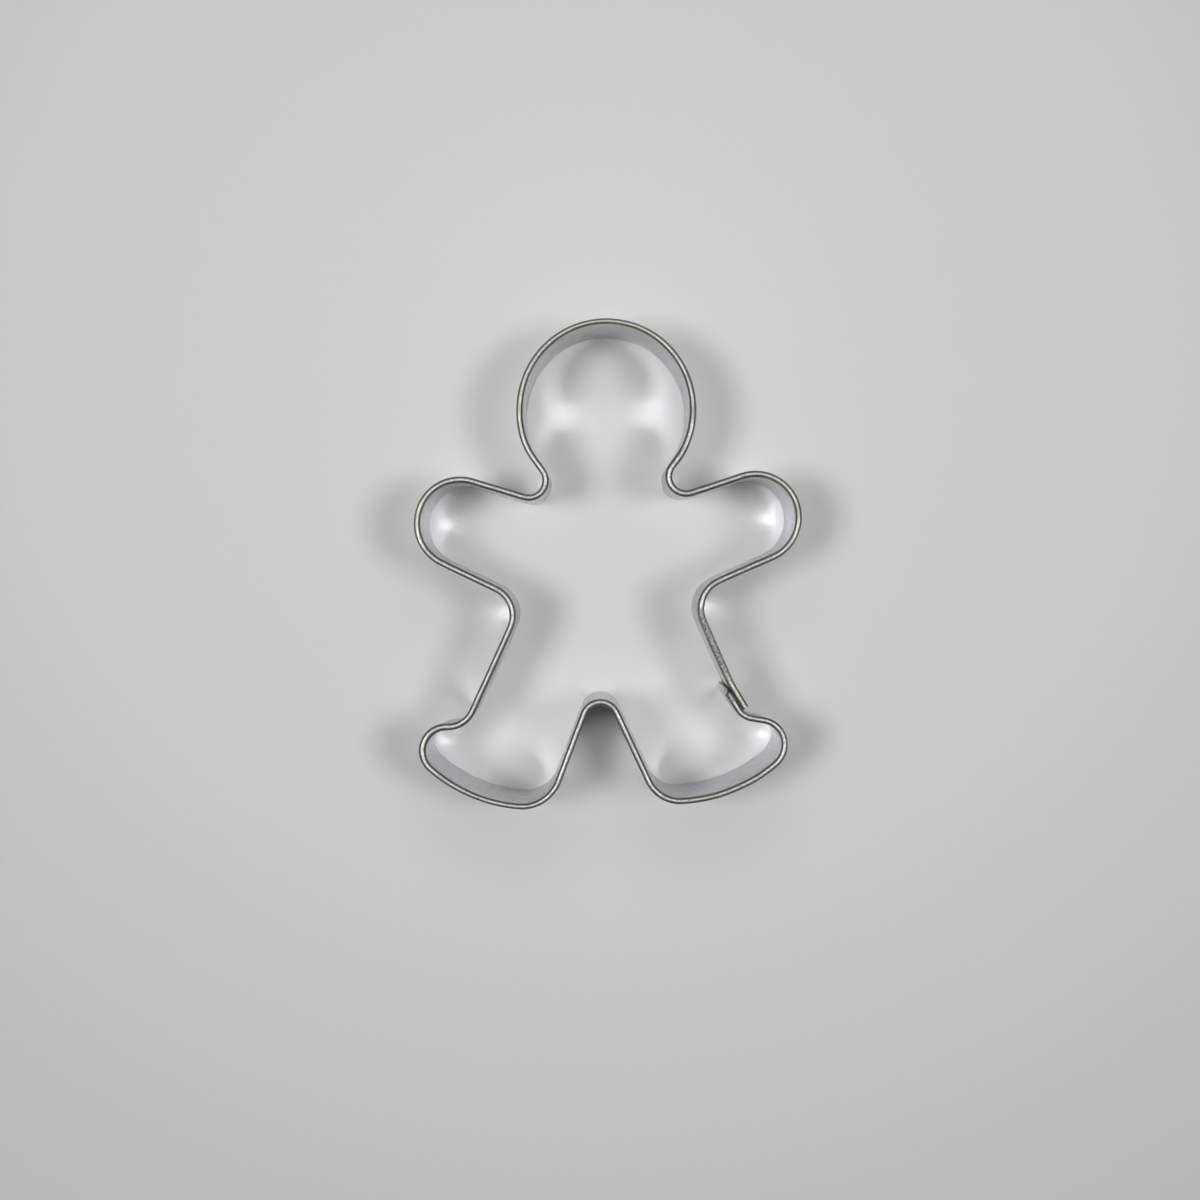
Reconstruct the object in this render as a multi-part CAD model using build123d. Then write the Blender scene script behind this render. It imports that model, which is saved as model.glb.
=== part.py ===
from build123d import *
import os
from math import acos, atan2, copysign, cos, degrees, hypot, pi, radians, sin, sqrt, tau
from typing import NamedTuple

# Cookie cutter in the outline of a gingerbread figure: one strip of thin sheet, bent round the figure,
# with its upper edge rolled outward and its two ends lapped and spot welded on one leg.
# Seen from above the head points to +Y, and the cutting edge stands on the plane of the origin.

# Strip
BAND_HEIGHT = 20.0
SHEET = 0.3

# Rolled rim
RIM_WIDTH = 1.05  # across the roll, the sheet of the wall included
RIM_LEG = 1.2  # straight stretch that closes the roll against the wall
RIM_TUCK_GAP = 0.08  # between the end of that stretch and the wall
OUTSIDE_FLAT_COUNT = 8  # short flats that make the upper half of the roll round
INSIDE_FLAT_COUNT = 3

# Places in the outline are measured from the middle line and the middle height of the figure.
# Radii are those of the wall's inner face, which is the edge of the cut cookie.

# Head
HEAD_X = -0.15
HEAD_Y = 25.4
HEAD_RADIUS = 13.55

# Flattened cheek on the head's left, as shares of the head's radius
CHEEK_X_SHARE = -0.215
CHEEK_Y_SHARE = -0.13
CHEEK_RADIUS_SHARE = 0.78
CHEEK_FLAT_SHARE = 1.17

# Neck bends, each a straight stretch away from the head in a direction below the level line
RIGHT_NECK_DROP = 40.3  # degrees
RIGHT_NECK_RUN = 1.1
RIGHT_NECK_BEND = 3.4
LEFT_NECK_DROP = 46.2  # degrees
LEFT_NECK_RUN = 2.4
LEFT_NECK_BEND = 3.25

# Hands
RIGHT_HAND_X = 24.15
RIGHT_HAND_Y = 7.65
RIGHT_HAND_RADIUS = 6.5
LEFT_HAND_X = -23.95
LEFT_HAND_Y = 6.6
LEFT_HAND_RADIUS = 6.6

# Waist bends
RIGHT_WAIST_X = 20.25
RIGHT_WAIST_Y = -7.35
RIGHT_WAIST_BEND = 5.6
LEFT_WAIST_X = -20.25
LEFT_WAIST_Y = -8.4
LEFT_WAIST_BEND = 5.35

# Toes
RIGHT_TOE_X = 24.95
RIGHT_TOE_Y = -29.4
RIGHT_TOE_RADIUS = 3.45
LEFT_TOE_X = -26.25
LEFT_TOE_Y = -30.45
LEFT_TOE_RADIUS = 3.4

# Ankle bends, each a straight stretch away from the toe in a direction above the level line
RIGHT_ANKLE_RISE = 96.9  # degrees
RIGHT_ANKLE_RUN = 2.05
RIGHT_ANKLE_BEND = 3.65
LEFT_ANKLE_RISE = 87.9  # degrees
LEFT_ANKLE_RUN = 0.35
LEFT_ANKLE_BEND = 4.75

# Heels and the soles that join them to the toes
RIGHT_HEEL_X = 11.9
RIGHT_HEEL_Y = -32.95
RIGHT_HEEL_RADIUS = 5.15
RIGHT_SOLE_RADIUS = 24.8
LEFT_HEEL_X = -13.95
LEFT_HEEL_Y = -33.15
LEFT_HEEL_RADIUS = 5.85
LEFT_SOLE_RADIUS = 24.5

# Crotch between the legs
CROTCH_X = -1.1
CROTCH_Y = -25.4
CROTCH_BEND = 3.4

# Lapped ends on the right leg: the end from the waist lies outside, the end from the foot inside
LAP_LENGTH = 3.75
LAP_GAP = 0.05  # between the inner end's roll and the outer end's wall
LAP_TO_ANKLE = 0.25  # from the outer end to where the ankle bend begins
LAP_KINK = 7.5  # degrees, by which the outer end turns out over the inner end's roll
LAP_KINK_BEND = 2.2
TRIM_LENGTH = 0.85  # of the inner end, where the roll is cut away
LIP_TURN = 38.0  # degrees, by which the trimmed tip is turned towards the outer wall
LIP_BEND = 0.5

# Spot welds in the lap
WELD_HEIGHTS = {"spot_weld_lower": 5.0, "spot_weld_upper": 13.0}
WELD_FROM_END = 1.45
WELD_RADIUS = 0.6
WELD_THICKNESS = 0.2
DIMPLE_FLOOR_RADIUS = 0.7
DIMPLE_FLANK = 0.4  # width of the sloping flank round the floor
CUT_OVERRUN = 0.2  # by which a cut runs past the faces it goes through

# Two bends touch at a point if the run between them is shorter than this share of the sheet
SHORTEST_RUN_SHARE = 0.001

# Sizes that follow from those above
ROLL_RADIUS = RIM_WIDTH / 2
LAP_PITCH = RIM_WIDTH + LAP_GAP
DIMPLE_DEPTH = (LAP_PITCH - SHEET - WELD_THICKNESS) / 2
DIMPLE_RADIUS = DIMPLE_FLOOR_RADIUS + DIMPLE_FLANK
SHORTEST_RUN = SHEET * SHORTEST_RUN_SHARE


class Bend(NamedTuple):
    """A bend of the strip: its middle, and its radius, above zero where the strip turns left."""

    x: float
    y: float
    radius: float


class Station(NamedTuple):
    """A place on the strip's path with the heading that the strip has there."""

    x: float
    y: float
    heading: float

    def ahead(self, distance, outward=0):
        """The station a straight distance further on, and that far outward of the path."""
        return Station(
            self.x + distance * cos(self.heading) - outward * sin(self.heading),
            self.y + distance * sin(self.heading) + outward * cos(self.heading),
            self.heading,
        )

    def section_plane(self):
        """Plane square to the path: its x runs outward, its y runs up."""
        return Plane(
            origin=(self.x, self.y, 0),
            x_dir=(-sin(self.heading), cos(self.heading), 0),
            z_dir=(cos(self.heading), sin(self.heading), 0),
        )


def station_on(bend, heading):
    """Where the path runs along a bend with the given heading."""
    return Station(
        bend.x + bend.radius * sin(heading), bend.y - bend.radius * cos(heading), heading
    )


def heading_between(first, second):
    """Heading of the straight run that is tangent to two bends, or of the point where they touch."""
    across = second.x - first.x
    up = second.y - first.y
    rise = second.radius - first.radius
    run_squared = across**2 + up**2 - rise**2
    if run_squared < SHORTEST_RUN**2:
        return atan2(up, across) - copysign(pi / 2, rise)
    return atan2(up, across) - atan2(rise, sqrt(run_squared))


def bend_beyond(start, direction, run, radius):
    """A bend that turns the other way from its neighbour, a straight run away in some direction."""
    reach = hypot(abs(start.radius) + abs(radius), run)
    return Bend(start.x + reach * cos(direction), start.y + reach * sin(direction), radius)


def bend_round(first, second, radius):
    """The wide right-hand bend that holds two smaller ones inside it and touches both."""
    across = second.x - first.x
    up = second.y - first.y
    span = hypot(across, up)
    from_first = abs(radius - first.radius)
    from_second = abs(radius - second.radius)
    along = (from_first**2 - from_second**2 + span**2) / (2 * span)
    aside = sqrt(from_first**2 - along**2)
    return Bend(
        first.x + (across * along + up * aside) / span,
        first.y + (up * along - across * aside) / span,
        radius,
    )


def outline_bends():
    """The bends of the figure, clockwise seen from above, from the right ankle to the right waist."""
    right_toe = Bend(RIGHT_TOE_X, RIGHT_TOE_Y, -RIGHT_TOE_RADIUS)
    right_ankle = bend_beyond(right_toe, radians(RIGHT_ANKLE_RISE), RIGHT_ANKLE_RUN, RIGHT_ANKLE_BEND)
    right_heel = Bend(RIGHT_HEEL_X, RIGHT_HEEL_Y, -RIGHT_HEEL_RADIUS)
    right_sole = bend_round(right_toe, right_heel, -RIGHT_SOLE_RADIUS)
    crotch = Bend(CROTCH_X, CROTCH_Y, CROTCH_BEND)
    left_toe = Bend(LEFT_TOE_X, LEFT_TOE_Y, -LEFT_TOE_RADIUS)
    left_ankle = bend_beyond(left_toe, radians(LEFT_ANKLE_RISE), LEFT_ANKLE_RUN, LEFT_ANKLE_BEND)
    left_heel = Bend(LEFT_HEEL_X, LEFT_HEEL_Y, -LEFT_HEEL_RADIUS)
    left_sole = bend_round(left_heel, left_toe, -LEFT_SOLE_RADIUS)
    left_waist = Bend(LEFT_WAIST_X, LEFT_WAIST_Y, LEFT_WAIST_BEND)
    left_hand = Bend(LEFT_HAND_X, LEFT_HAND_Y, -LEFT_HAND_RADIUS)
    head = Bend(HEAD_X, HEAD_Y, -HEAD_RADIUS)
    cheek = Bend(
        HEAD_X + CHEEK_X_SHARE * HEAD_RADIUS,
        HEAD_Y + CHEEK_Y_SHARE * HEAD_RADIUS,
        -CHEEK_RADIUS_SHARE * HEAD_RADIUS,
    )
    cheek_flat = bend_round(cheek, head, -CHEEK_FLAT_SHARE * HEAD_RADIUS)
    left_neck = bend_beyond(cheek, -radians(180 - LEFT_NECK_DROP), LEFT_NECK_RUN, LEFT_NECK_BEND)
    right_neck = bend_beyond(head, -radians(RIGHT_NECK_DROP), RIGHT_NECK_RUN, RIGHT_NECK_BEND)
    right_hand = Bend(RIGHT_HAND_X, RIGHT_HAND_Y, -RIGHT_HAND_RADIUS)
    right_waist = Bend(RIGHT_WAIST_X, RIGHT_WAIST_Y, RIGHT_WAIST_BEND)
    return [
        right_ankle, right_toe, right_sole, right_heel, crotch, left_heel, left_sole, left_toe,
        left_ankle, left_waist, left_hand, left_neck, cheek, cheek_flat, head, right_neck,
        right_hand, right_waist,
    ]


def leg_heading(waist, ankle):
    """Heading of the right leg's outer side, which the kink then turns to the heading of the lap."""
    kink = radians(LAP_KINK)
    run = LAP_LENGTH + LAP_TO_ANKLE
    stand_off = LAP_KINK_BEND * (1 - cos(kink)) + (ankle.radius - LAP_PITCH) * cos(kink) + run * sin(kink)
    return heading_between(waist, Bend(ankle.x, ankle.y, stand_off))


def straight_edge(start, end):
    return Edge.make_line((start.x, start.y, 0), (end.x, end.y, 0))


def bend_edge(bend, heading_in, heading_out):
    """Arc of a bend between two headings, turning the way that the bend does."""
    turn = (heading_out - heading_in) % tau
    if bend.radius < 0:
        turn = turn - tau
    side = -90 if bend.radius > 0 else 90
    start_angle = degrees(heading_in) + side
    return CenterArc((bend.x, bend.y, 0), abs(bend.radius), start_angle, degrees(turn)).edge()


def strip_path(bends, lap_heading, lap_outer):
    """Path of the wall's inner face from the trimmed roll of the inner end to the outer end."""
    ankle = bends[0]
    waist = bends[-1]
    kink_out = lap_outer.ahead(-LAP_LENGTH)
    kink_middle = kink_out.ahead(0, LAP_KINK_BEND)
    kink = Bend(kink_middle.x, kink_middle.y, LAP_KINK_BEND)

    rolled_start = station_on(ankle, lap_heading).ahead(TRIM_LENGTH - LAP_LENGTH - LAP_TO_ANKLE)
    edges = [straight_edge(rolled_start, station_on(ankle, lap_heading))]
    heading_in = lap_heading
    chain = bends + [kink]
    for here, following in zip(chain, chain[1:]):
        heading_out = heading_between(here, following)
        edges.append(bend_edge(here, heading_in, heading_out))
        leaving = station_on(here, heading_out)
        arriving = station_on(following, heading_out)
        if hypot(arriving.x - leaving.x, arriving.y - leaving.y) > SHORTEST_RUN:
            edges.append(straight_edge(leaving, arriving))
        heading_in = heading_out
    edges.append(bend_edge(kink, heading_in, lap_heading))
    edges.append(straight_edge(kink_out, lap_outer))
    return rolled_start, Wire(edges)


def roll_corners(radius, flats, lean):
    """Corners of the short flats that make the upper half of the roll round, from the wall outward."""
    middle = Vector(ROLL_RADIUS, BAND_HEIGHT - ROLL_RADIUS)
    turns = [pi * (1 - flat / flats) for flat in range(flats + 1)] + [-lean]
    return [middle + Vector(cos(turn), sin(turn)) * radius for turn in turns]


def rolled_section(plane):
    """Section of the strip: a flat wall whose top is rolled outward and closed against the wall."""
    inner_radius = ROLL_RADIUS - SHEET
    reach = hypot(inner_radius, RIM_LEG)
    lean = acos((RIM_TUCK_GAP - inner_radius) / reach) - atan2(RIM_LEG, inner_radius)
    leg = Vector(-sin(lean), -cos(lean)) * RIM_LEG
    outside = roll_corners(ROLL_RADIUS, OUTSIDE_FLAT_COUNT, lean)
    inside = roll_corners(inner_radius, INSIDE_FLAT_COUNT, lean)
    leg_end = [outside[-1] + leg, inside[-1] + leg]
    outline = [Vector(0, 0), *outside, *leg_end, *reversed(inside), Vector(SHEET, 0)]
    return plane * make_face(Polyline(*outline, close=True))


def trimmed_lip(rolled_start):
    """The inner end's tip: bare wall, as high as the foot of the roll, turned to the outer wall."""
    turn = radians(LIP_TURN)
    straight = (TRIM_LENGTH - LIP_BEND * sin(turn)) / cos(turn)
    pin = rolled_start.ahead(0, LIP_BEND)
    tip_heading = rolled_start.heading - turn
    bend = Bend(pin.x, pin.y, LIP_BEND)
    bend_start = station_on(bend, tip_heading)
    tip = bend_start.ahead(-straight)
    path = Wire([straight_edge(tip, bend_start), bend_edge(bend, tip_heading, rolled_start.heading)])
    height = BAND_HEIGHT - RIM_WIDTH
    section = tip.section_plane() * Pos(SHEET / 2, height / 2) * Rectangle(SHEET, height)
    return sweep(section, path)


def dimple(plane):
    """Pressed dimple round the plane's z axis: floor and sloping flank, as thick as the sheet."""
    outline = Polyline(
        (0, DIMPLE_DEPTH),
        (DIMPLE_FLOOR_RADIUS, DIMPLE_DEPTH),
        (DIMPLE_RADIUS, 0),
        (DIMPLE_RADIUS, SHEET),
        (DIMPLE_FLOOR_RADIUS, DIMPLE_DEPTH + SHEET),
        (0, DIMPLE_DEPTH + SHEET),
        close=True,
    )
    return plane * revolve(Plane.XZ * make_face(outline), Axis.Z)


def dimple_hole(plane):
    """Cut through one wall where its dimple goes."""
    depth = SHEET + 2 * CUT_OVERRUN
    return plane * Pos(0, 0, -CUT_OVERRUN) * extrude(Circle(DIMPLE_RADIUS), depth)


def weld_stations(lap_inner):
    """For each weld, the station on the inner end's path, level with the weld's middle."""
    return {name: (lap_inner.ahead(-WELD_FROM_END), height) for name, height in WELD_HEIGHTS.items()}


def across_plane(station, height, outward, facing):
    """Plane in the lap whose z runs outward through the walls, or inward where facing is below zero."""
    place = station.ahead(0, outward)
    return Plane(
        origin=(place.x, place.y, height),
        x_dir=(cos(station.heading), sin(station.heading), 0),
        z_dir=(-facing * sin(station.heading), facing * cos(station.heading), 0),
    )


def cutter_band(rolled_start, path, welds):
    band = sweep(rolled_section(rolled_start.section_plane()), path)
    band = band + trimmed_lip(rolled_start)
    for station, height in welds.values():
        inner = across_plane(station, height, 0, 1)
        outer = across_plane(station, height, LAP_PITCH + SHEET, -1)
        for plane in (inner, outer):
            band = band - dimple_hole(plane) + dimple(plane)
    return band


def spot_weld(station, height):
    """The disc of weld metal that joins the floors of two facing dimples."""
    return across_plane(station, height, SHEET + DIMPLE_DEPTH, 1) * extrude(
        Circle(WELD_RADIUS), WELD_THICKNESS
    )


def build():
    bends = outline_bends()
    ankle = bends[0]
    lap_heading = leg_heading(bends[-1], ankle) + radians(LAP_KINK)
    lap_inner = station_on(ankle, lap_heading).ahead(-LAP_TO_ANKLE)
    lap_outer = lap_inner.ahead(0, LAP_PITCH)
    rolled_start, path = strip_path(bends, lap_heading, lap_outer)
    welds = weld_stations(lap_inner)
    pieces = {"cutter_band": cutter_band(rolled_start, path, welds)}
    for name, (station, height) in welds.items():
        pieces[name] = spot_weld(station, height)
    return pieces


def centred(pieces):
    """The pieces with the middle of the footprint at the origin."""
    middle = pieces["cutter_band"].bounding_box().center()
    return {name: Pos(-middle.X, -middle.Y, 0) * piece for name, piece in pieces.items()}


os.makedirs("parts", exist_ok=True)
for name, piece in centred(build()).items():
    export_step(piece, f"parts/{name}.step")
    box = piece.bounding_box()
    print(name, "volume", round(piece.volume, 3), "size", box.size, "valid", piece.is_valid)
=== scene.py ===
from collections import namedtuple
from math import acos, atan, atan2, ceil, copysign, cos, exp, hypot, pi, radians, sin, sqrt, tau

import bpy
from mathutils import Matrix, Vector, noise

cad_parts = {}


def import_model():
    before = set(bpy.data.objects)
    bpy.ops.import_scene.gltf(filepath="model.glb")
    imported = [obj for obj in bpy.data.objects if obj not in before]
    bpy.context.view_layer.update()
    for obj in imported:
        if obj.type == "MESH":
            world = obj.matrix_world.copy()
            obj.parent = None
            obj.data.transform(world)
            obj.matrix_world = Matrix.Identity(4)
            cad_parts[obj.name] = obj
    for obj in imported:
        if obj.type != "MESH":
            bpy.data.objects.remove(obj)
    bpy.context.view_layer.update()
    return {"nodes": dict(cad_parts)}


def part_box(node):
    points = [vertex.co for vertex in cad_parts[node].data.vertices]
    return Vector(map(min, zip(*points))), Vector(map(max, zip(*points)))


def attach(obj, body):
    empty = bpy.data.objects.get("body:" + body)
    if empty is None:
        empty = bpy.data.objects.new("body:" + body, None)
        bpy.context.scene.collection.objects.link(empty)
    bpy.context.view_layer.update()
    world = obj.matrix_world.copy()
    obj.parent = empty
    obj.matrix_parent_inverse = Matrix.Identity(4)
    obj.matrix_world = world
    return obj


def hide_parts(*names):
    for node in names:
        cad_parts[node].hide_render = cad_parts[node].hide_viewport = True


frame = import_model()

# A cookie cutter in the outline of a gingerbread figure: one strip of bright tinned sheet, bent
# round the figure, with its upper edge rolled outward and its two ends lapped and spot welded on
# one leg. Lengths are in metres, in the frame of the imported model: the head points to +Y and the
# rim is up.

Bend = namedtuple("Bend", "x y radius")  # the radius is above zero where the strip turns left
Station = namedtuple("Station", "x y heading")
Stretch = namedtuple("Stretch", "start length radius")  # a straight one has no radius
Row = namedtuple("Row", "station place")  # the place is the distance from the strip's trimmed tip
Swell = namedtuple("Swell", "place reach share")  # of the roll's radius
Bow = namedtuple("Bow", "place reach outward")  # of the wall's top
Mark = namedtuple("Mark", "place up reach rise lean")  # a fine line or a speck on the wall
Patch = namedtuple("Patch", "place reach share")  # of wear, and of painted shade, along the strip
Waves = namedtuple("Waves", "x y z detail")  # of a pattern, so many to the metre on each axis
Lamp = namedtuple("Lamp", "name azimuth elevation width height brightness tint")

# Strip, rim and lap
BAND_HEIGHT = 0.020
SHEET = 0.0003
RIM_WIDTH = 0.00105
RIM_LEG = 0.0012
RIM_TUCK_GAP = 0.00008
LAP_LENGTH = 0.00375
LAP_GAP = 0.00005
LAP_TO_ANKLE = 0.00025
LAP_OVERRUN_TURN = radians(11)  # of the outer end round the ankle, which the solids leave out
LAP_KINK = radians(7.5)
LAP_KINK_BEND = 0.0022
TRIM_LENGTH = 0.00085
LIP_TURN = radians(38)
LIP_BEND = 0.0005
WELD_HEIGHTS = (0.005, 0.013)
WELD_FROM_END = 0.00145
WELD_THICKNESS = 0.0002
DIMPLE_FLOOR_RADIUS = 0.0007
DIMPLE_FLANK = 0.0004

# Outline of the wall's inner face: bends with their middles, and necks and ankles that lie some way
# beyond their neighbour as (direction, straight run, radius)
HEAD = Bend(-0.00015, 0.0254, -0.01355)
CHEEK_X_SHARE = -0.215
CHEEK_Y_SHARE = -0.13
CHEEK_RADIUS_SHARE = 0.78
CHEEK_FLAT_SHARE = 1.17
RIGHT_NECK = (radians(-40.3), 0.0011, 0.0034)
LEFT_NECK = (radians(-133.8), 0.0024, 0.00325)
RIGHT_HAND = Bend(0.02415, 0.00765, -0.0065)
LEFT_HAND = Bend(-0.02395, 0.0066, -0.0066)
RIGHT_WAIST = Bend(0.02025, -0.00735, 0.0056)
LEFT_WAIST = Bend(-0.02025, -0.0084, 0.00535)
RIGHT_TOE = Bend(0.02495, -0.0294, -0.00345)
LEFT_TOE = Bend(-0.02625, -0.03045, -0.0034)
RIGHT_ANKLE = (radians(96.9), 0.00205, 0.00365)
LEFT_ANKLE = (radians(87.9), 0.00035, 0.00475)
RIGHT_HEEL = Bend(0.0119, -0.03295, -0.00515)
LEFT_HEEL = Bend(-0.01395, -0.03315, -0.00585)
RIGHT_SOLE_RADIUS = 0.0248
LEFT_SOLE_RADIUS = 0.0245
CROTCH = Bend(-0.0011, -0.0254, 0.0034)

# Sizes that follow
ROLL_RADIUS = RIM_WIDTH / 2
LAP_PITCH = RIM_WIDTH + LAP_GAP
WALL_TOP = BAND_HEIGHT - RIM_WIDTH
DIMPLE_DEPTH = (LAP_PITCH - SHEET - WELD_THICKNESS) / 2
DIMPLE_RADIUS = DIMPLE_FLOOR_RADIUS + DIMPLE_FLANK
SHORTEST_RUN = SHEET / 1000

# Steps of the mesh
BEND_STEP = 0.0004
RUN_STEP = 0.0006
LAP_STEP = 0.00014
WALL_STEP = 0.001
DIMPLE_STEP = 0.0002
OUTSIDE_STEPS = 24
INSIDE_STEPS = 9
LEG_STEPS = 5
EDGE_BEVEL = 0.00003
EDGE_SUPPORT = 0.00009
SHARP_ANGLE = radians(40)


# Path of the strip


def station_on(bend, heading):
    """The station of a bend where the strip has some heading."""
    x = bend.x + bend.radius * sin(heading)
    y = bend.y - bend.radius * cos(heading)
    return Station(x, y, heading)


def ahead(station, distance, outward=0):
    """The station some distance ahead of another, and so far outward of its path."""
    return Station(
        station.x + distance * cos(station.heading) - outward * sin(station.heading),
        station.y + distance * sin(station.heading) + outward * cos(station.heading),
        station.heading,
    )


def heading_between(first, second):
    """Heading of the straight run that is tangent to two bends, or of the point they touch in."""
    across = second.x - first.x
    up = second.y - first.y
    rise = second.radius - first.radius
    run_squared = across**2 + up**2 - rise**2
    if run_squared < SHORTEST_RUN**2:
        return atan2(up, across) - copysign(pi / 2, rise)
    return atan2(up, across) - atan2(rise, sqrt(run_squared))


def bend_beyond(start, direction, run, radius):
    """The opposite bend in some direction from another, with a straight run between them."""
    reach = hypot(abs(start.radius) + abs(radius), run)
    return Bend(start.x + reach * cos(direction), start.y + reach * sin(direction), radius)


def bend_round(first, second, radius):
    """The wide right-hand bend that holds two smaller ones inside it and touches both."""
    across = second.x - first.x
    up = second.y - first.y
    span = hypot(across, up)
    from_first = abs(radius - first.radius)
    from_second = abs(radius - second.radius)
    along = (from_first**2 - from_second**2 + span**2) / (2 * span)
    aside = sqrt(from_first**2 - along**2)
    x = first.x + (across * along + up * aside) / span
    y = first.y + (up * along - across * aside) / span
    return Bend(x, y, radius)


def outline_bends():
    """The figure's bends, clockwise seen from above, from the right ankle to the right waist."""
    cheek_x = HEAD.x - CHEEK_X_SHARE * HEAD.radius
    cheek_y = HEAD.y - CHEEK_Y_SHARE * HEAD.radius
    cheek = Bend(cheek_x, cheek_y, CHEEK_RADIUS_SHARE * HEAD.radius)
    return [
        bend_beyond(RIGHT_TOE, *RIGHT_ANKLE), RIGHT_TOE,
        bend_round(RIGHT_TOE, RIGHT_HEEL, -RIGHT_SOLE_RADIUS), RIGHT_HEEL,
        CROTCH,
        LEFT_HEEL, bend_round(LEFT_HEEL, LEFT_TOE, -LEFT_SOLE_RADIUS),
        LEFT_TOE, bend_beyond(LEFT_TOE, *LEFT_ANKLE),
        LEFT_WAIST, LEFT_HAND,
        bend_beyond(cheek, *LEFT_NECK), cheek,
        bend_round(cheek, HEAD, CHEEK_FLAT_SHARE * HEAD.radius), HEAD,
        bend_beyond(HEAD, *RIGHT_NECK),
        RIGHT_HAND, RIGHT_WAIST,
    ]


def leg_heading(waist, ankle):
    """Heading of the right leg's outer side, before the kink that turns it to the lap's heading."""
    run = LAP_LENGTH + LAP_TO_ANKLE
    kinked = LAP_KINK_BEND * (1 - cos(LAP_KINK)) + (ankle.radius - LAP_PITCH) * cos(LAP_KINK)
    return heading_between(waist, Bend(ankle.x, ankle.y, kinked + run * sin(LAP_KINK)))


def straight(start, end):
    return Stretch(start, hypot(end.x - start.x, end.y - start.y), None)


def arc(bend, heading_in, heading_out):
    turn = (heading_out - heading_in) % tau
    if bend.radius < 0:
        turn = turn - tau
    return Stretch(station_on(bend, heading_in), turn * bend.radius, bend.radius)


def lap_stations():
    """The station of the lap's end on the inner and on the outer wall's path."""
    bends = outline_bends()
    heading = leg_heading(bends[-1], bends[0]) + LAP_KINK
    inner = ahead(station_on(bends[0], heading), -LAP_TO_ANKLE)
    return inner, ahead(inner, 0, LAP_PITCH)


def tip_stretches(lap_inner):
    """The inner end's trimmed tip, which turns out to the other wall."""
    rolled_start = ahead(lap_inner, TRIM_LENGTH - LAP_LENGTH)
    pin = ahead(rolled_start, 0, LIP_BEND)
    heading = rolled_start.heading - LIP_TURN
    lip = Bend(pin.x, pin.y, LIP_BEND)
    bend_start = station_on(lip, heading)
    tip = ahead(bend_start, -(TRIM_LENGTH - LIP_BEND * sin(LIP_TURN)) / cos(LIP_TURN))
    return [straight(tip, bend_start), arc(lip, heading, rolled_start.heading)]


def rolled_stretches(lap_inner, lap_outer):
    """The strip from where its roll begins, round the figure, to its outer end."""
    kink_out = ahead(lap_outer, -LAP_LENGTH)
    kink_pin = ahead(kink_out, 0, LAP_KINK_BEND)
    chain = outline_bends() + [Bend(kink_pin.x, kink_pin.y, LAP_KINK_BEND)]
    rolled_start = ahead(lap_inner, TRIM_LENGTH - LAP_LENGTH)
    stretches = [straight(rolled_start, station_on(chain[0], lap_inner.heading))]
    heading_in = lap_inner.heading
    for here, following in zip(chain, chain[1:]):
        heading_out = heading_between(here, following)
        stretches.append(arc(here, heading_in, heading_out))
        run = straight(station_on(here, heading_out), station_on(following, heading_out))
        if run.length > SHORTEST_RUN:
            stretches.append(run)
        heading_in = heading_out
    stretches.append(arc(chain[-1], heading_in, lap_outer.heading))
    beside_ankle = Bend(chain[0].x, chain[0].y, chain[0].radius - LAP_PITCH)
    stretches.append(straight(kink_out, station_on(beside_ankle, lap_outer.heading)))
    stretches.append(arc(beside_ankle, lap_outer.heading, lap_outer.heading + LAP_OVERRUN_TURN))
    return stretches


def place_on(stretch, distance):
    """The station some distance along a stretch."""
    if stretch.radius is None:
        return ahead(stretch.start, distance)
    heading = stretch.start.heading + distance / stretch.radius
    return Station(
        stretch.start.x + stretch.radius * (sin(heading) - sin(stretch.start.heading)),
        stretch.start.y - stretch.radius * (cos(heading) - cos(stretch.start.heading)),
        heading,
    )


def walk(stretches, begin=0, fine=()):
    """Rows along some stretches, both ends included, closer together in those named fine."""
    rows = [Row(stretches[0].start, begin)]
    for stretch in stretches:
        step = RUN_STEP if stretch.radius is None else BEND_STEP
        if stretch in fine:
            step = LAP_STEP
        count = ceil(stretch.length / step)
        for k in range(1, count + 1):
            distance = stretch.length * k / count
            rows.append(Row(place_on(stretch, distance), begin + distance))
        begin += stretch.length
    return rows


# How the real strip departs from a perfect one, by places along it

ROLL_SWELLS = (
    Swell(0.210, 0.012, -0.14),
    Swell(0.083, 0.010, -0.12),
    Swell(0.240, 0.012, 0.10),
    Swell(0.100, 0.006, 0.14),
    Swell(0.302, 0.009, 0.16),
)
BOWS = (
    Bow(0.019, 0.004, 0.00010),
    Bow(0.031, 0.010, 0.00006),
    Bow(0.078, 0.010, 0.00006),
    Bow(0.115, 0.010, -0.00008),
    Bow(0.149, 0.006, -0.00010),
    Bow(0.181, 0.004, -0.00010),
    Bow(0.199, 0.006, -0.00005),
    Bow(0.2395, 0.0055, 0.00022),
    Bow(0.251, 0.005, -0.00011),
    Bow(0.279, 0.005, 0.00008),
    Bow(0.295, 0.006, 0.00009),
)
ROLL_WOBBLE_SHARE = 0.05
ROLL_WOBBLE_LENGTH = 0.006
ROLL_WOBBLE_SEED = 3
WALL_WOBBLE = 0.00003
WALL_WOBBLE_LENGTH = 0.007
WALL_WOBBLE_SEED = 8


def bell(distance, reach):
    return exp(-((distance / reach) ** 2))


def wobble(place, length, seed):
    """Smooth noise from -1 to 1 along the strip."""
    return noise.noise(Vector((place / length, seed, 0)))


def ease(share):
    """A share held between 0 and 1 and eased at both ends."""
    held = min(1, max(0, share))
    return held * held * (3 - 2 * held)


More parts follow.
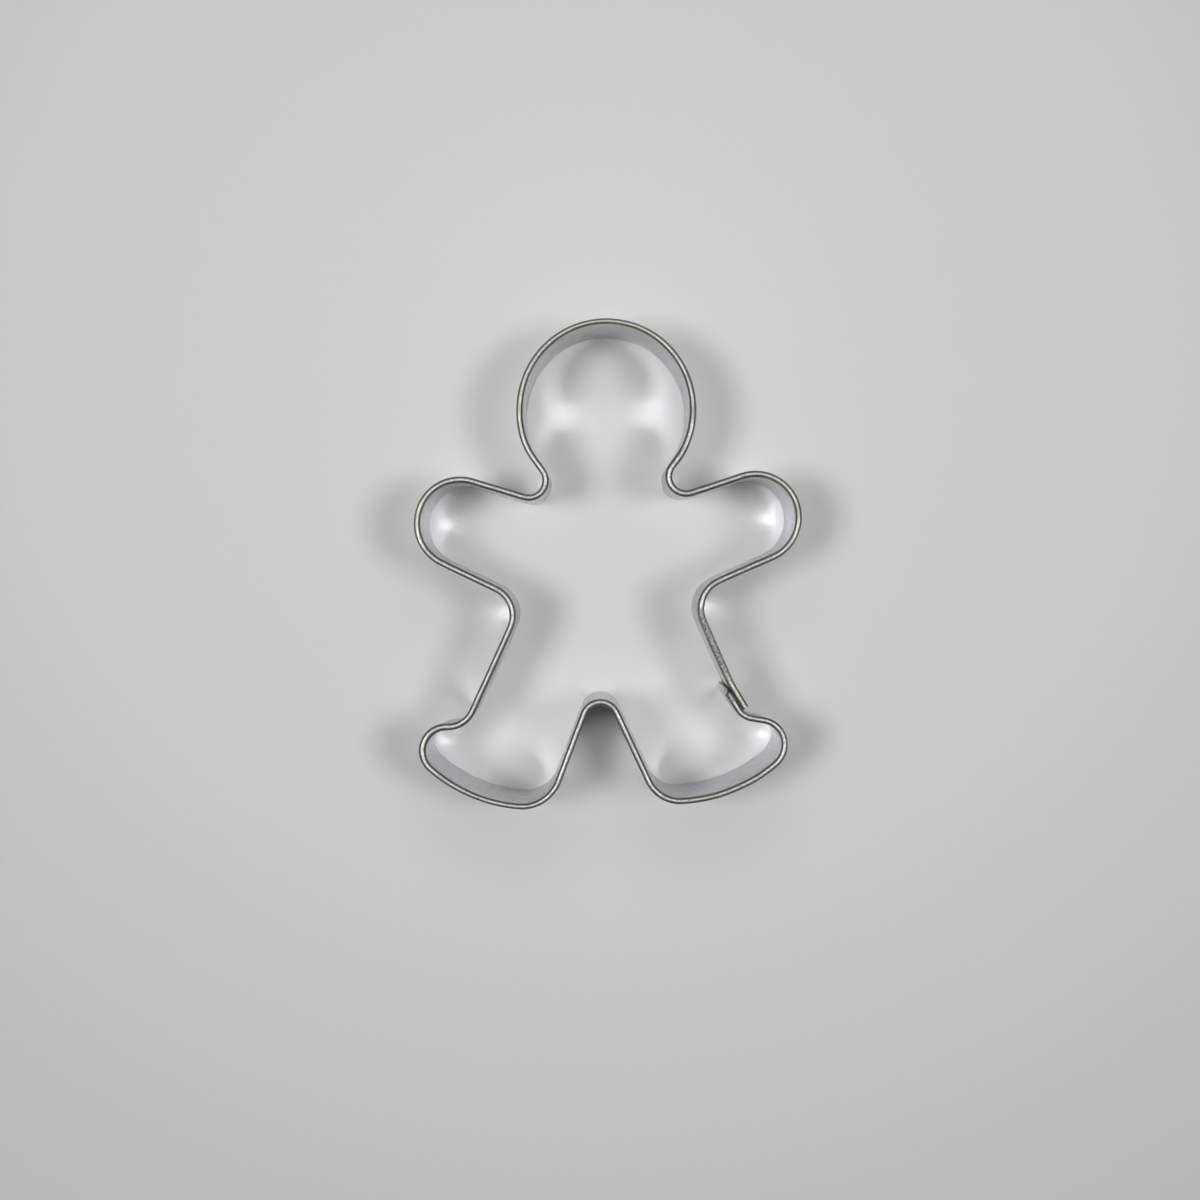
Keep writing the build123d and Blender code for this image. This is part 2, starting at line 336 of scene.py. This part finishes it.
def roll_radius_at(place):
    swells = sum(swell.share * bell(place - swell.place, swell.reach) for swell in ROLL_SWELLS)
    pinch = ROLL_WOBBLE_SHARE * abs(wobble(place, ROLL_WOBBLE_LENGTH, ROLL_WOBBLE_SEED))
    return ROLL_RADIUS * (1 + swells - pinch)


def wall_shift_at(place, length):
    """How far the wall's top stands off its path, which it keeps in the lap.

    Where the roll swells, the wall moves in, so that the middle of the roll stays in its place.
    """
    free = ease((min(place, length - place) - LAP_LENGTH) / LAP_LENGTH)
    bows = sum(bow.outward * bell(place - bow.place, bow.reach) for bow in BOWS)
    dents = WALL_WOBBLE * abs(wobble(place, WALL_WOBBLE_LENGTH, WALL_WOBBLE_SEED))
    return free * (ROLL_RADIUS - roll_radius_at(place) + bows - dents)


# Section of the strip, as points (outward, up)


def wall_levels():
    """Heights of the wall's points below the roll, closer together round the welds' dimples."""
    levels = [EDGE_SUPPORT]
    while levels[-1] < WALL_TOP:
        away = min(abs(levels[-1] - height) for height in WELD_HEIGHTS)
        near = away < DIMPLE_RADIUS + DIMPLE_STEP
        levels.append(levels[-1] + (DIMPLE_STEP if near else WALL_STEP))
    return [level for level in levels if level < WALL_TOP - DIMPLE_STEP] + [WALL_TOP]


LEVELS = wall_levels()
WALL_POINTS = len(LEVELS) + 1  # on each face of the wall, the one at its bevel included
EDGE_POINTS = 2  # on the cutting edge, between its bevels


def roll_arc(radius, roll_radius, lean, steps):
    """Points of one face of the roll, from the wall over the crest to the leg."""
    turns = [pi - (pi + lean) * step / steps for step in range(steps + 1)]
    middle_up = BAND_HEIGHT - roll_radius
    return [(roll_radius + radius * cos(turn), middle_up + radius * sin(turn)) for turn in turns]


def leg_points(start, lean):
    """Points of one face of the leg below the roll."""
    legs = [RIM_LEG * step / LEG_STEPS for step in range(1, LEG_STEPS + 1)]
    return [(start[0] - leg * sin(lean), start[1] - leg * cos(lean)) for leg in legs]


def section(roll_radius):
    """The section with its roll: up the inner face, round the roll and down the outer face."""
    inner_radius = roll_radius - SHEET
    reach = hypot(inner_radius, RIM_LEG)
    lean = acos((RIM_TUCK_GAP - inner_radius) / reach) - atan2(RIM_LEG, inner_radius)
    outside = roll_arc(roll_radius, roll_radius, lean, OUTSIDE_STEPS)
    inside = roll_arc(inner_radius, roll_radius, lean, INSIDE_STEPS)
    outside += leg_points(outside[-1], lean)
    inside += leg_points(inside[-1], lean)
    inner_face = [(0, EDGE_BEVEL)] + [(0, level) for level in LEVELS]
    outer_face = [(SHEET, level) for level in reversed(LEVELS)] + [(SHEET, EDGE_BEVEL)]
    cutting_edge = [(SHEET - EDGE_BEVEL, 0), (EDGE_BEVEL, 0)]
    return inner_face + outside + inside[::-1] + outer_face + cutting_edge


SECTION_POINTS = len(section(ROLL_RADIUS))
WHOLE_LOOP = list(range(SECTION_POINTS))
ROLL_LOOP = WHOLE_LOOP[WALL_POINTS - 1 : 1 - WALL_POINTS - EDGE_POINTS]  # with the wall's top
BARE_LOOP = WHOLE_LOOP[:WALL_POINTS] + WHOLE_LOOP[-WALL_POINTS - EDGE_POINTS :]  # the bare wall


def dimple_push(along, up):
    """How far the welds' dimples move a wall, some way along the strip from the welds."""
    push = 0
    for height in WELD_HEIGHTS:
        push += DIMPLE_DEPTH * ease((DIMPLE_RADIUS - hypot(along, up - height)) / DIMPLE_FLANK)
    return push


# Mesh of the strip


class StripMesh:
    """Vertices and faces of the strip, with each vertex's place along, round and up the strip."""

    def __init__(self, lap_inner, lap_outer, length):
        self.verts = []
        self.faces = []
        self.places = []
        self.length = length
        self.inner_weld = ahead(lap_inner, -WELD_FROM_END)
        self.outer_weld = ahead(lap_outer, -WELD_FROM_END)
        # The whole mesh is shifted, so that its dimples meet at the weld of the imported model
        weld_middle = ahead(self.inner_weld, 0, SHEET + DIMPLE_DEPTH + WELD_THICKNESS / 2)
        low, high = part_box("spot_weld_lower")
        self.shift_x = (low.x + high.x) / 2 - weld_middle.x
        self.shift_y = (low.y + high.y) / 2 - weld_middle.y

    def dimple_at(self, row, up):
        """How far the wall of a row is pressed towards the other wall at some height."""
        inner = row.place < self.length / 2
        weld = self.inner_weld if inner else self.outer_weld
        away = hypot(row.station.x - weld.x, row.station.y - weld.y)
        return dimple_push(away, up) * (1 if inner else -1)

    def add_row(self, row, loop):
        """The vertices of one row, by their index in the section."""
        shift = wall_shift_at(row.place, self.length)
        outline = section(roll_radius_at(row.place))
        made = {}
        around = 0
        last = outline[0]
        for index, (out, up) in enumerate(outline):
            around += hypot(out - last[0], up - last[1])
            last = (out, up)
            if index not in loop:
                continue
            if index in BARE_LOOP:
                out += self.dimple_at(row, up)
            place = ahead(row.station, 0, out + shift * up / BAND_HEIGHT)
            made[index] = len(self.verts)
            self.verts.append((place.x + self.shift_x, place.y + self.shift_y, up))
            self.places.append((row.place, around, up))
        return made

    def join(self, here, following, loop):
        """Faces between two rows, all round a closed loop of section points."""
        for a, b in zip(loop, loop[1:] + loop[:1]):
            self.faces.append((here[a], following[a], following[b], here[b]))

    def cap_wall(self, row, forward):
        """End faces of the wall, from its inner to its outer side."""
        step = 1 if forward else -1
        last = SECTION_POINTS - 1
        pairs = [(last, last - 1)]
        pairs += [(index, last - EDGE_POINTS - index) for index in range(WALL_POINTS)]
        for low, high in zip(pairs, pairs[1:]):
            self.faces.append((row[low[0]], row[low[1]], row[high[1]], row[high[0]])[::step])

    def cap_roll(self, row, forward):
        """The end face of the roll."""
        self.faces.append([row[index] for index in ROLL_LOOP][:: -1 if forward else 1])


def strip_mesh():
    """The trimmed tip of bare wall, the rolled strip, and the end faces of both."""
    lap_inner, lap_outer = lap_stations()
    tip_rows = walk(tip_stretches(lap_inner))
    rolled = rolled_stretches(lap_inner, lap_outer)
    lapped = (rolled[0], *rolled[-2:])
    rolled_rows = walk(rolled, tip_rows[-1].place, lapped)
    mesh = StripMesh(lap_inner, lap_outer, rolled_rows[-1].place)
    bare = [mesh.add_row(row, BARE_LOOP) for row in tip_rows[:-1]]
    whole = [mesh.add_row(row, WHOLE_LOOP) for row in rolled_rows]
    mesh.cap_wall(bare[0], False)
    for here, following in zip(bare, bare[1:] + whole[:1]):
        mesh.join(here, following, BARE_LOOP)
    mesh.cap_roll(whole[0], False)
    for here, following in zip(whole, whole[1:]):
        mesh.join(here, following, WHOLE_LOOP)
    mesh.cap_wall(whole[-1], True)
    mesh.cap_roll(whole[-1], True)
    return mesh


def strip_object():
    made = strip_mesh()
    data = bpy.data.meshes.new("cutter_strip")
    data.from_pydata(made.verts, [], made.faces)
    places = data.attributes.new("strip_place", "FLOAT_VECTOR", "POINT")
    places.data.foreach_set("vector", [value for place in made.places for value in place])
    data.materials.append(tinned_strip(made.length))
    data.shade_smooth()
    data.set_sharp_from_angle(angle=SHARP_ANGLE)
    data.validate()
    strip = bpy.data.objects.new("cutter_strip", data)
    bpy.context.scene.collection.objects.link(strip)
    return strip


# Shading nodes


class Nodes:
    """The node tree of a material or the world, with short calls to add and join its nodes."""

    def __init__(self, owner, shader="Principled BSDF"):
        self.owner = owner
        self.owner.use_nodes = True
        self.tree = self.owner.node_tree
        self.shader = self.tree.nodes[shader]

    def add(self, kind, settings=None, **inputs):
        """A node with some settings, its inputs given as values or as the outputs feeding them."""
        made = self.tree.nodes.new(kind)
        for name, value in (settings or {}).items():
            setattr(made, name, value)
        for name, value in inputs.items():
            self.feed(made, name.replace("_", " "), value)
        return made

    def feed(self, node, name, value):
        """Join an input to an output, or give it a value, which for a colour has three parts."""
        if isinstance(value, bpy.types.NodeSocket):
            self.tree.links.new(value, node.inputs[name])
        elif node.inputs[name].type == "RGBA":
            node.inputs[name].default_value = (*value, 1)
        else:
            node.inputs[name].default_value = value

    def grains(self, place, waves):
        """Noise with so many waves to the metre along each axis of the place."""
        scale = (waves.x, waves.y, waves.z)
        scaled = self.add("ShaderNodeMapping", {"vector_type": "POINT"}, Vector=place, Scale=scale)
        vector = scaled.outputs["Vector"]
        made = self.add("ShaderNodeTexNoise", Vector=vector, Scale=1, Detail=waves.detail)
        return made.outputs["Fac"]

    def spread(self, value, low, high, start, end):
        """A value between two ends, brought into the range from low to high and eased at both."""
        made = self.add(
            "ShaderNodeMapRange", {"interpolation_type": "SMOOTHSTEP"},
            Value=value, From_Min=start, From_Max=end, To_Min=low, To_Max=high,
        )
        return made.outputs["Result"]

    def maths(self, operation, first, second):
        made = self.add("ShaderNodeMath", {"operation": operation})
        self.feed(made, 0, first)
        self.feed(made, 1, second)
        return made.outputs["Value"]

    def times(self, first, second):
        return self.maths("MULTIPLY", first, second)

    def beside(self, value, middle, reach):
        """One where a value is in the middle, eased down to nothing at the reach."""
        away = self.maths("ABSOLUTE", self.maths("SUBTRACT", value, middle), 0)
        return self.spread(away, 1, 0, 0, reach)

    def patches(self, value, patches):
        """The sum of several patches, each in its share."""
        total = 0
        for patch in patches:
            near = self.times(self.beside(value, patch.place, patch.reach), patch.share)
            total = self.maths("ADD", near, total)
        return total

    def seen(self):
        """One for the rays that show a background, in the camera, in metal and in glass."""
        rays = self.add("ShaderNodeLightPath").outputs
        mirrored = self.maths("MAXIMUM", rays["Is Glossy Ray"], rays["Is Transmission Ray"])
        return self.maths("MAXIMUM", rays["Is Camera Ray"], mirrored)

    def ramp(self, value, stops):
        """Colours that follow one another, each at its level of the value."""
        made = self.add("ShaderNodeValToRGB", Fac=value)
        elements = made.color_ramp.elements
        while len(elements) < len(stops):
            elements.new(1)
        for element, (level, colour) in zip(elements, stops):
            element.position = level
            element.color = (*colour, 1)
        return made.outputs["Color"]

    def blend(self, share, first, second):
        return self.add("ShaderNodeMixRGB", Fac=share, Color1=first, Color2=second).outputs["Color"]


NOISE_LEVELS = (0.3, 0.7)  # between which most of a noise lies


# Tin of the strip

# Patterns in the place along and round the strip
CLOUD_WAVES = Waves(160, 160, 0, 3)
GRAIN_WAVES = Waves(350, 9000, 0, 2)
MOTTLE_WAVES = Waves(2600, 2600, 0, 2)
RIPPLE_WAVES = Waves(500, 500, 0, 1)
SCRATCH_WAVES = Waves(90, 3000, 0, 1)
SPECK_WAVES = Waves(1000, 1000, 0, 0)

# Levels of a pattern where it begins to show and where it shows in full
GRAIN_LEVELS = (0.35, 0.65)
SCRATCH_LEVELS = (0.68, 0.74)
SPECK_LEVELS = (0.84, 0.88)
DULL_LEVELS = (0.55, 0.95)
DULL_MOTTLE_SHARE = 0.6  # the mottle's share in these

# Wear of the rim, and painted shade on it, by places along the strip
DULL = (Patch(0.0016, 0.0022, 1), Patch(0.2995, 0.0085, 1.2), Patch(0.307, 0.007, 0.5))
# painted shade: a darker rim where the side lamps' glints fall on its crest, to dim them
GLINT_SHADE = (
    Patch(0.045, 0.008, 0.5),
    Patch(0.117, 0.014, 0.8),
    Patch(0.188, 0.009, 0.6),
    Patch(0.230, 0.010, 0.9),
    Patch(0.270, 0.004, 0.9),
)
TARNISH = (
    Patch(0.033, 0.010, 0.3),
    Patch(0.151, 0.008, 0.6),
    Patch(0.191, 0.006, 0.4),
    Patch(0.211, 0.017, 0.6),
    Patch(0.2655, 0.006, 0.4),
    Patch(0.274, 0.005, 0.6),
    Patch(0.308, 0.006, 0.4),
)
OUTER_FLANK_SHADE = (Patch(0.036, 0.019, 0.8), Patch(0.083, 0.015, 0.9))  # painted shade on its outer flank at the soles, where it mirrors the dim room

# Wear marks inside the wall, and painted shade on its outer face in the fold between the legs
FOLD_SHADE = (Patch(0.056, 0.016, 1),)
MARKS = (
    Mark(0.0829, 0.0045, 0.00009, 0.0045, 0),
    Mark(0.2685, 0.0060, 0.00016, 0.0012, 0),
    Mark(0.1530, 0.0083, 0.00016, 0.0012, 0),
    Mark(0.2638, 0.0055, 0.00011, 0.0025, 0.75),
    Mark(0.1434, 0.0025, 0.00011, 0.0029, 0.65),
)

# Where the painted shade and the other wear show
CREST = WALL_TOP + pi * ROLL_RADIUS / 2  # a distance round the section, where the rim is highest
OUTER_FACE = BAND_HEIGHT + pi * ROLL_RADIUS  # a distance where the wall's outer face has begun
FLANK_DEPTH = 0.00022  # of the painted dark line on both flanks of the rim, below its crest, where the round rim mirrors the dim room
FLANK_REACH = 0.00016
SHEARED_REACH = 0.00005  # of bare steel from the sheared edges
LAP_SHADE_REACH = 1.3 * LAP_LENGTH  # of the painted shade on the flanks from both ends of the strip, where the two rolls lie side by side in the lap
TIP_REACH = 2.4 * TRIM_LENGTH  # of the painted shade on the tip from its end
TIP_FOOT = 0.016  # the height where the painted shade on the tip begins

# Colours, and tones as (level of a pattern, colour)
WALL_TONES = ((0.35, (0.76, 0.77, 0.79)), (0.65, (0.82, 0.83, 0.85)))
RIM_TONES = ((0.35, (0.25, 0.25, 0.237)), (0.65, (0.43, 0.43, 0.41)))
DULL_TONES = ((0.35, (0.16, 0.162, 0.155)), (0.65, (0.50, 0.505, 0.48)))
# painted shade: darkens the wall's outer face in the fold between the legs, where shade falls
FOLD_SHADE_COLOUR = (0.38, 0.38, 0.36)
# painted reflection: the dark lines on both flanks of the rim, where it mirrors the dim room
FLANK_SHADE_COLOUR = (0.18, 0.185, 0.17)
TARNISH_COLOUR = (0.33, 0.35, 0.26)
# painted shade over the side lamps' glints on the rim
GLINT_SHADE_COLOUR = (0.24, 0.24, 0.225)
# painted shade between the two rolls in the lap
LAP_SHADE_COLOUR = (0.13, 0.13, 0.12)
# painted shade on the trimmed tip, in the gap between the lapped walls
TIP_SHADE_COLOUR = (0.12, 0.12, 0.11)
# painted shade: the rim's outer flank at the soles, where it mirrors the dim room
OUTER_FLANK_SHADE_COLOUR = (0.05, 0.05, 0.045)
SHEARED_COLOUR = (0.45, 0.44, 0.42)
FLECK_COLOUR = (0.30, 0.30, 0.31)
GRAZING_TINT = (0.74, 0.75, 0.76)  # dulls the walls, which the camera sees along their face

# Roughness in the smooth and the rough lines of the grain, and the least one of the wear
WALL_ROUGHNESS = (0.12, 0.43)
RIM_ROUGHNESS = (0.34, 0.56)
WEAR_ROUGHNESS = {"scratches": 0.25, "dull": 0.71, "tip": 0.5, "sheared": 0.5, "specks": 0.4}

# Heights of the fine relief, in thousandths of a millimetre
RELIEF_UNIT = 0.000001
GRAIN_RELIEF = 1.2
RIPPLE_RELIEF = 2.5
DULL_RELIEF = 4


def wall_marks(nodes, along, up):
    """Fine lines and specks, which lean along the strip as they rise."""
    marks = 0
    for mark in MARKS:
        leaning = nodes.maths("SUBTRACT", along, nodes.times(up, mark.lean))
        line = nodes.beside(leaning, mark.place - mark.up * mark.lean, mark.reach)
        marks = nodes.maths("ADD", nodes.times(line, nodes.beside(up, mark.up, mark.rise)), marks)
    return marks


def strip_masks(nodes, place, mottle, length):
    """How far the rim, each kind of wear and each patch of painted shade show, by name."""
    along, around, up = nodes.add("ShaderNodeSeparateXYZ", Vector=place).outputs
    rim = nodes.spread(up, 0, 1, WALL_TOP, WALL_TOP + ROLL_RADIUS)
    # where the rim's flanks are, which carry the painted dark lines
    flanks = nodes.beside(up, BAND_HEIGHT - FLANK_DEPTH, FLANK_REACH)
    outer_flank = nodes.spread(around, 0, 1, CREST, CREST + FLANK_DEPTH)
    outer_face = nodes.spread(around, 0, 1, BAND_HEIGHT, OUTER_FACE)
    tip_height = nodes.spread(up, 0, 1, TIP_FOOT, WALL_TOP)
    sheared = nodes.beside(up, 0, SHEARED_REACH)
    lapped = 0
    for end in (0, length):
        sheared = nodes.maths("MAXIMUM", sheared, nodes.beside(along, end, SHEARED_REACH))
        lapped = nodes.maths("MAXIMUM", nodes.beside(along, end, LAP_SHADE_REACH), lapped)
    dull = nodes.times(nodes.patches(along, DULL), rim)
    dull = nodes.maths("ADD", dull, nodes.times(mottle, DULL_MOTTLE_SHARE))
    specks = nodes.spread(nodes.grains(place, SPECK_WAVES), 0, 1, *SPECK_LEVELS)
    inner_face = nodes.maths("SUBTRACT", 1, outer_face)
    marks = nodes.times(wall_marks(nodes, along, up), inner_face)
    return {
        "rim": rim,
        "flanks": flanks,
        # painted shade in the fold between the legs
        "fold_shade": nodes.times(nodes.patches(along, FOLD_SHADE), outer_face),
        "tarnish": nodes.times(nodes.patches(along, TARNISH), rim),
        # painted shade over the glints on the rim's crest
        "glint_shade": nodes.times(nodes.patches(along, GLINT_SHADE), rim),
        "dull": nodes.spread(dull, 0, 1, *DULL_LEVELS),
        # painted shade on the flanks in the lap
        "lapped": nodes.times(lapped, flanks),
        # painted shade on the tip
        "tip": nodes.times(nodes.beside(along, 0, TIP_REACH), tip_height),
        # painted shade on the outer flank at the soles
        "outer_flank_shade": nodes.times(nodes.times(nodes.patches(along, OUTER_FLANK_SHADE), flanks), outer_flank),
        "sheared": sheared,
        "scratches": nodes.spread(nodes.grains(place, SCRATCH_WAVES), 0, 1, *SCRATCH_LEVELS),
        "specks": specks,
        "flecks": nodes.maths("MAXIMUM", specks, marks),
    }


def strip_colour(nodes, masks, place, mottle):
    """The tin's colour, under the coats of wear and of painted shade, from the lowest to the
    topmost.
    """
    coats = {
        "rim": nodes.ramp(mottle, RIM_TONES),
        "fold_shade": FOLD_SHADE_COLOUR,
        "flanks": FLANK_SHADE_COLOUR,
        "tarnish": TARNISH_COLOUR,
        "glint_shade": GLINT_SHADE_COLOUR,
        "dull": nodes.ramp(mottle, DULL_TONES),
        "lapped": LAP_SHADE_COLOUR,
        "tip": TIP_SHADE_COLOUR,
        "outer_flank_shade": OUTER_FLANK_SHADE_COLOUR,
        "sheared": SHEARED_COLOUR,
        "flecks": FLECK_COLOUR,
    }
    colour = nodes.ramp(nodes.grains(place, CLOUD_WAVES), WALL_TONES)
    for name, coat in coats.items():
        colour = nodes.blend(masks[name], colour, coat)
    return colour


def strip_roughness(nodes, masks, grain):
    smooth, rough = (
        nodes.spread(masks["rim"], wall, rim, 0, 1)
        for wall, rim in zip(WALL_ROUGHNESS, RIM_ROUGHNESS)
    )
    roughness = nodes.spread(grain, smooth, rough, *GRAIN_LEVELS)
    for name, least in WEAR_ROUGHNESS.items():
        roughness = nodes.maths("MAXIMUM", roughness, nodes.times(masks[name], least))
    return roughness


def strip_relief(nodes, masks, place, grain, mottle):
    """The normal over the grain, the ripples and the mottle of the dull stretches."""
    ripples = nodes.times(nodes.grains(place, RIPPLE_WAVES), RIPPLE_RELIEF)
    rough_dull = nodes.times(nodes.times(mottle, masks["dull"]), DULL_RELIEF)
    relief = nodes.maths("ADD", nodes.times(grain, GRAIN_RELIEF), ripples)
    relief = nodes.maths("ADD", relief, rough_dull)
    bump = nodes.add("ShaderNodeBump", Strength=1, Distance=RELIEF_UNIT, Height=relief)
    return bump.outputs["Normal"]


def tinned_strip(length):
    """Bright tin, with the marks of the rolling mill, the bending and the handling, and with
    painted shade on the rim's flanks, over its glints, in the lap, on the tip and in the fold
    between the legs.
    """
    nodes = Nodes(bpy.data.materials.new("tinned_strip"))
    place = nodes.add("ShaderNodeAttribute", {"attribute_name": "strip_place"}).outputs["Vector"]
    grain = nodes.grains(place, GRAIN_WAVES)
    mottle = nodes.grains(place, MOTTLE_WAVES)
    masks = strip_masks(nodes, place, mottle, length)
    nodes.feed(nodes.shader, "Base Color", strip_colour(nodes, masks, place, mottle))
    nodes.feed(nodes.shader, "Metallic", 1)
    nodes.feed(nodes.shader, "Specular Tint", GRAZING_TINT)
    nodes.feed(nodes.shader, "Roughness", strip_roughness(nodes, masks, grain))
    nodes.feed(nodes.shader, "Normal", strip_relief(nodes, masks, place, grain, mottle))
    return nodes.owner


# Metal of the welds

WELD_WAVES = Waves(2500, 2500, 2500, 3)
WELD_TONES = ((0.3, (0.30, 0.27, 0.24)), (0.5, (0.42, 0.40, 0.37)), (0.7, (0.46, 0.46, 0.48)))
WELD_ROUGHNESS = (0.35, 0.6)
WELD_RELIEF = 0.00004
WELD_RELIEF_STRENGTH = 0.5


def weld_metal():
    """Dull metal with the tints of its heating."""
    nodes = Nodes(bpy.data.materials.new("heat_tinted_weld"))
    place = nodes.add("ShaderNodeTexCoord").outputs["Object"]
    blotches = nodes.grains(place, WELD_WAVES)
    bump = nodes.add(
        "ShaderNodeBump", Strength=WELD_RELIEF_STRENGTH, Distance=WELD_RELIEF, Height=blotches
    )
    nodes.feed(nodes.shader, "Base Color", nodes.ramp(blotches, WELD_TONES))
    nodes.feed(nodes.shader, "Metallic", 1)
    nodes.feed(nodes.shader, "Roughness", nodes.spread(blotches, *WELD_ROUGHNESS, *NOISE_LEVELS))
    nodes.feed(nodes.shader, "Normal", bump.outputs["Normal"])
    return nodes.owner


# Stage, lamps and camera

FLOOR_REACH = 4
FLOOR_MIDDLE = (0, 0.04, 0)
FLOOR_FADE = 0.2  # the distance from the middle to the last tone of the painted falloff
# painted shade: the floor's tone falls away from the middle, as the lamps' light falls off
PAINTED_FALLOFF_TONES = ((0, 0.63), (0.2, 0.60), (0.5, 0.58), (0.75, 0.52), (1, 0.48))
FLOOR_TINT = (1.008, 1, 1.012)  # of the painted falloff away from its middle
FLOOR_MOTTLE = 0.015
PAPER_WAVES = Waves(900, 900, 0, 3)
PAPER_ROUGHNESS = 0.9
PAPER_GLOSS = 0.1

# Distances from the middle where the floor begins to be seen as pale in any light, and is in full
FAR_FLOOR_BEGINS = 0.22
FAR_FLOOR_FULL = 1.0
FAR_COLOUR = (0.48, 0.48, 0.475)

# The rise of a line of sight, up to which the world is seen as pale too, and from which it is dim
PALE_SKYLINE = 0.05
DIM_SKYLINE = 0.12
WORLD_COLOUR = (0.03, 0.03, 0.028)

# A lamp's brightness is that of its face, where a white card in the full light has 1
LAMP_DISTANCE = 0.9
LAMPS = [
    Lamp("right", -1, 66, 0.22, 0.22, 18.8, (1, 1, 1)),
    Lamp("left", 182, 68, 0.22, 0.22, 23.5, (1, 1, 1)),
    Lamp("overhead", 90, 82, 1.1, 1.0, 0.7, (1, 1, 0.94)),
    Lamp("beyond_head", 90, 52, 0.5, 0.36, 1.0, (1, 1, 0.94)),
]

PHOTO_SIZE = 1200
FOCAL_PIXELS = 1962
CAMERA_PLACE = (-0.00163, -0.00033, 0.339)
CAMERA_CLIP = 0.01
NADIR_X = 597.5  # the point of the photograph straight below the camera
NADIR_Y = 566.2

GLOSS_BLUR = 0  # so that the bright walls throw clear light patches on the floor
DIRECT_CLAMP = 2.5  # so that a lamp's thin glint on the rim is no brighter than white


def paper_colour(share, level):
    """The floor's tone at some share of its painted falloff, tinted away from its middle."""
    tint = FLOOR_TINT if share else (1, 1, 1)
    return [level * part for part in tint]


def pale_floor():
    """Pale paper, painted a little darker away from the lamps as painted shade, and seen as pale
    far from them.
    """
    nodes = Nodes(bpy.data.materials.new("pale_floor"))
    place = nodes.add("ShaderNodeTexCoord").outputs["Object"]
    away = nodes.add("ShaderNodeVectorMath", {"operation": "DISTANCE"})
    nodes.feed(away, 0, place)
    nodes.feed(away, 1, FLOOR_MIDDLE)
    distance = away.outputs["Value"]
    fade = nodes.maths("DIVIDE", distance, FLOOR_FADE)
    paper = nodes.grains(place, PAPER_WAVES)
    fibres = nodes.spread(paper, -FLOOR_MOTTLE, FLOOR_MOTTLE, *NOISE_LEVELS)
    stops = [(share, paper_colour(share, level)) for share, level in PAINTED_FALLOFF_TONES]
    far = nodes.spread(distance, 0, 1, FAR_FLOOR_BEGINS, FAR_FLOOR_FULL)
    nodes.feed(nodes.shader, "Base Color", nodes.ramp(nodes.maths("ADD", fade, fibres), stops))
    nodes.feed(nodes.shader, "Roughness", PAPER_ROUGHNESS)
    nodes.feed(nodes.shader, "Specular IOR Level", PAPER_GLOSS)
    nodes.feed(nodes.shader, "Emission Color", FAR_COLOUR)
    nodes.feed(nodes.shader, "Emission Strength", nodes.times(far, nodes.seen()))
    nodes.owner.cycles.emission_sampling = "NONE"  # it lights nothing
    return nodes.owner


def floor():
    corners = [(-1, -1), (1, -1), (1, 1), (-1, 1)]
    verts = [(x * FLOOR_REACH, y * FLOOR_REACH, 0) for x, y in corners]
    data = bpy.data.meshes.new("floor")
    data.from_pydata(verts, [], [(0, 1, 2, 3)])
    data.materials.append(pale_floor())
    made = bpy.data.objects.new("floor", data)
    bpy.context.scene.collection.objects.link(made)


def add_lamp(lamp):
    """A flat lamp that faces the origin."""
    azimuth = radians(lamp.azimuth)
    elevation = radians(lamp.elevation)
    aside = cos(elevation)
    towards = Vector((cos(azimuth) * aside, sin(azimuth) * aside, sin(elevation)))
    data = bpy.data.lights.new(lamp.name, "AREA")
    data.shape = "RECTANGLE"
    data.size = lamp.width
    data.size_y = lamp.height
    data.color = lamp.tint
    data.energy = lamp.brightness * pi * lamp.width * lamp.height
    made = bpy.data.objects.new(lamp.name, data)
    made.location = towards * LAMP_DISTANCE
    made.rotation_euler = (-towards).to_track_quat("-Z", "Y").to_euler()
    bpy.context.scene.collection.objects.link(made)


def world():
    """A dim room, seen as pale as the far floor where it meets it."""
    nodes = Nodes(bpy.data.worlds.new("dim_room"), "Background")
    towards = nodes.add("ShaderNodeTexCoord").outputs["Generated"]
    rise = nodes.add("ShaderNodeSeparateXYZ", Vector=towards).outputs["Z"]
    pale = nodes.times(nodes.spread(rise, 1, 0, PALE_SKYLINE, DIM_SKYLINE), nodes.seen())
    nodes.feed(nodes.shader, "Color", nodes.blend(pale, WORLD_COLOUR, FAR_COLOUR))
    bpy.context.scene.world = nodes.owner


def camera():
    """The camera that took the photograph, looking straight down but for a small tilt."""
    middle = PHOTO_SIZE / 2
    data = bpy.data.cameras.new("camera")
    data.angle = 2 * atan(middle / FOCAL_PIXELS)
    data.clip_start = CAMERA_CLIP
    made = bpy.data.objects.new("camera", data)
    made.location = CAMERA_PLACE
    made.rotation_euler.x = atan((NADIR_Y - middle) / FOCAL_PIXELS)
    made.rotation_euler.y = atan((NADIR_X - middle) / FOCAL_PIXELS)
    bpy.context.scene.collection.objects.link(made)
    bpy.context.scene.camera = made


strip = strip_object()
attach(strip, "root")
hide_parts("cutter_band")
weld_material = weld_metal()
for name in ("spot_weld_lower", "spot_weld_upper"):
    weld = frame["nodes"][name]
    weld.data.materials.clear()
    weld.data.materials.append(weld_material)

floor()
world()
for lamp in LAMPS:
    add_lamp(lamp)
camera()
bpy.context.scene.view_settings.view_transform = "Standard"
bpy.context.scene.cycles.blur_glossy = GLOSS_BLUR
bpy.context.scene.cycles.sample_clamp_direct = DIRECT_CLAMP
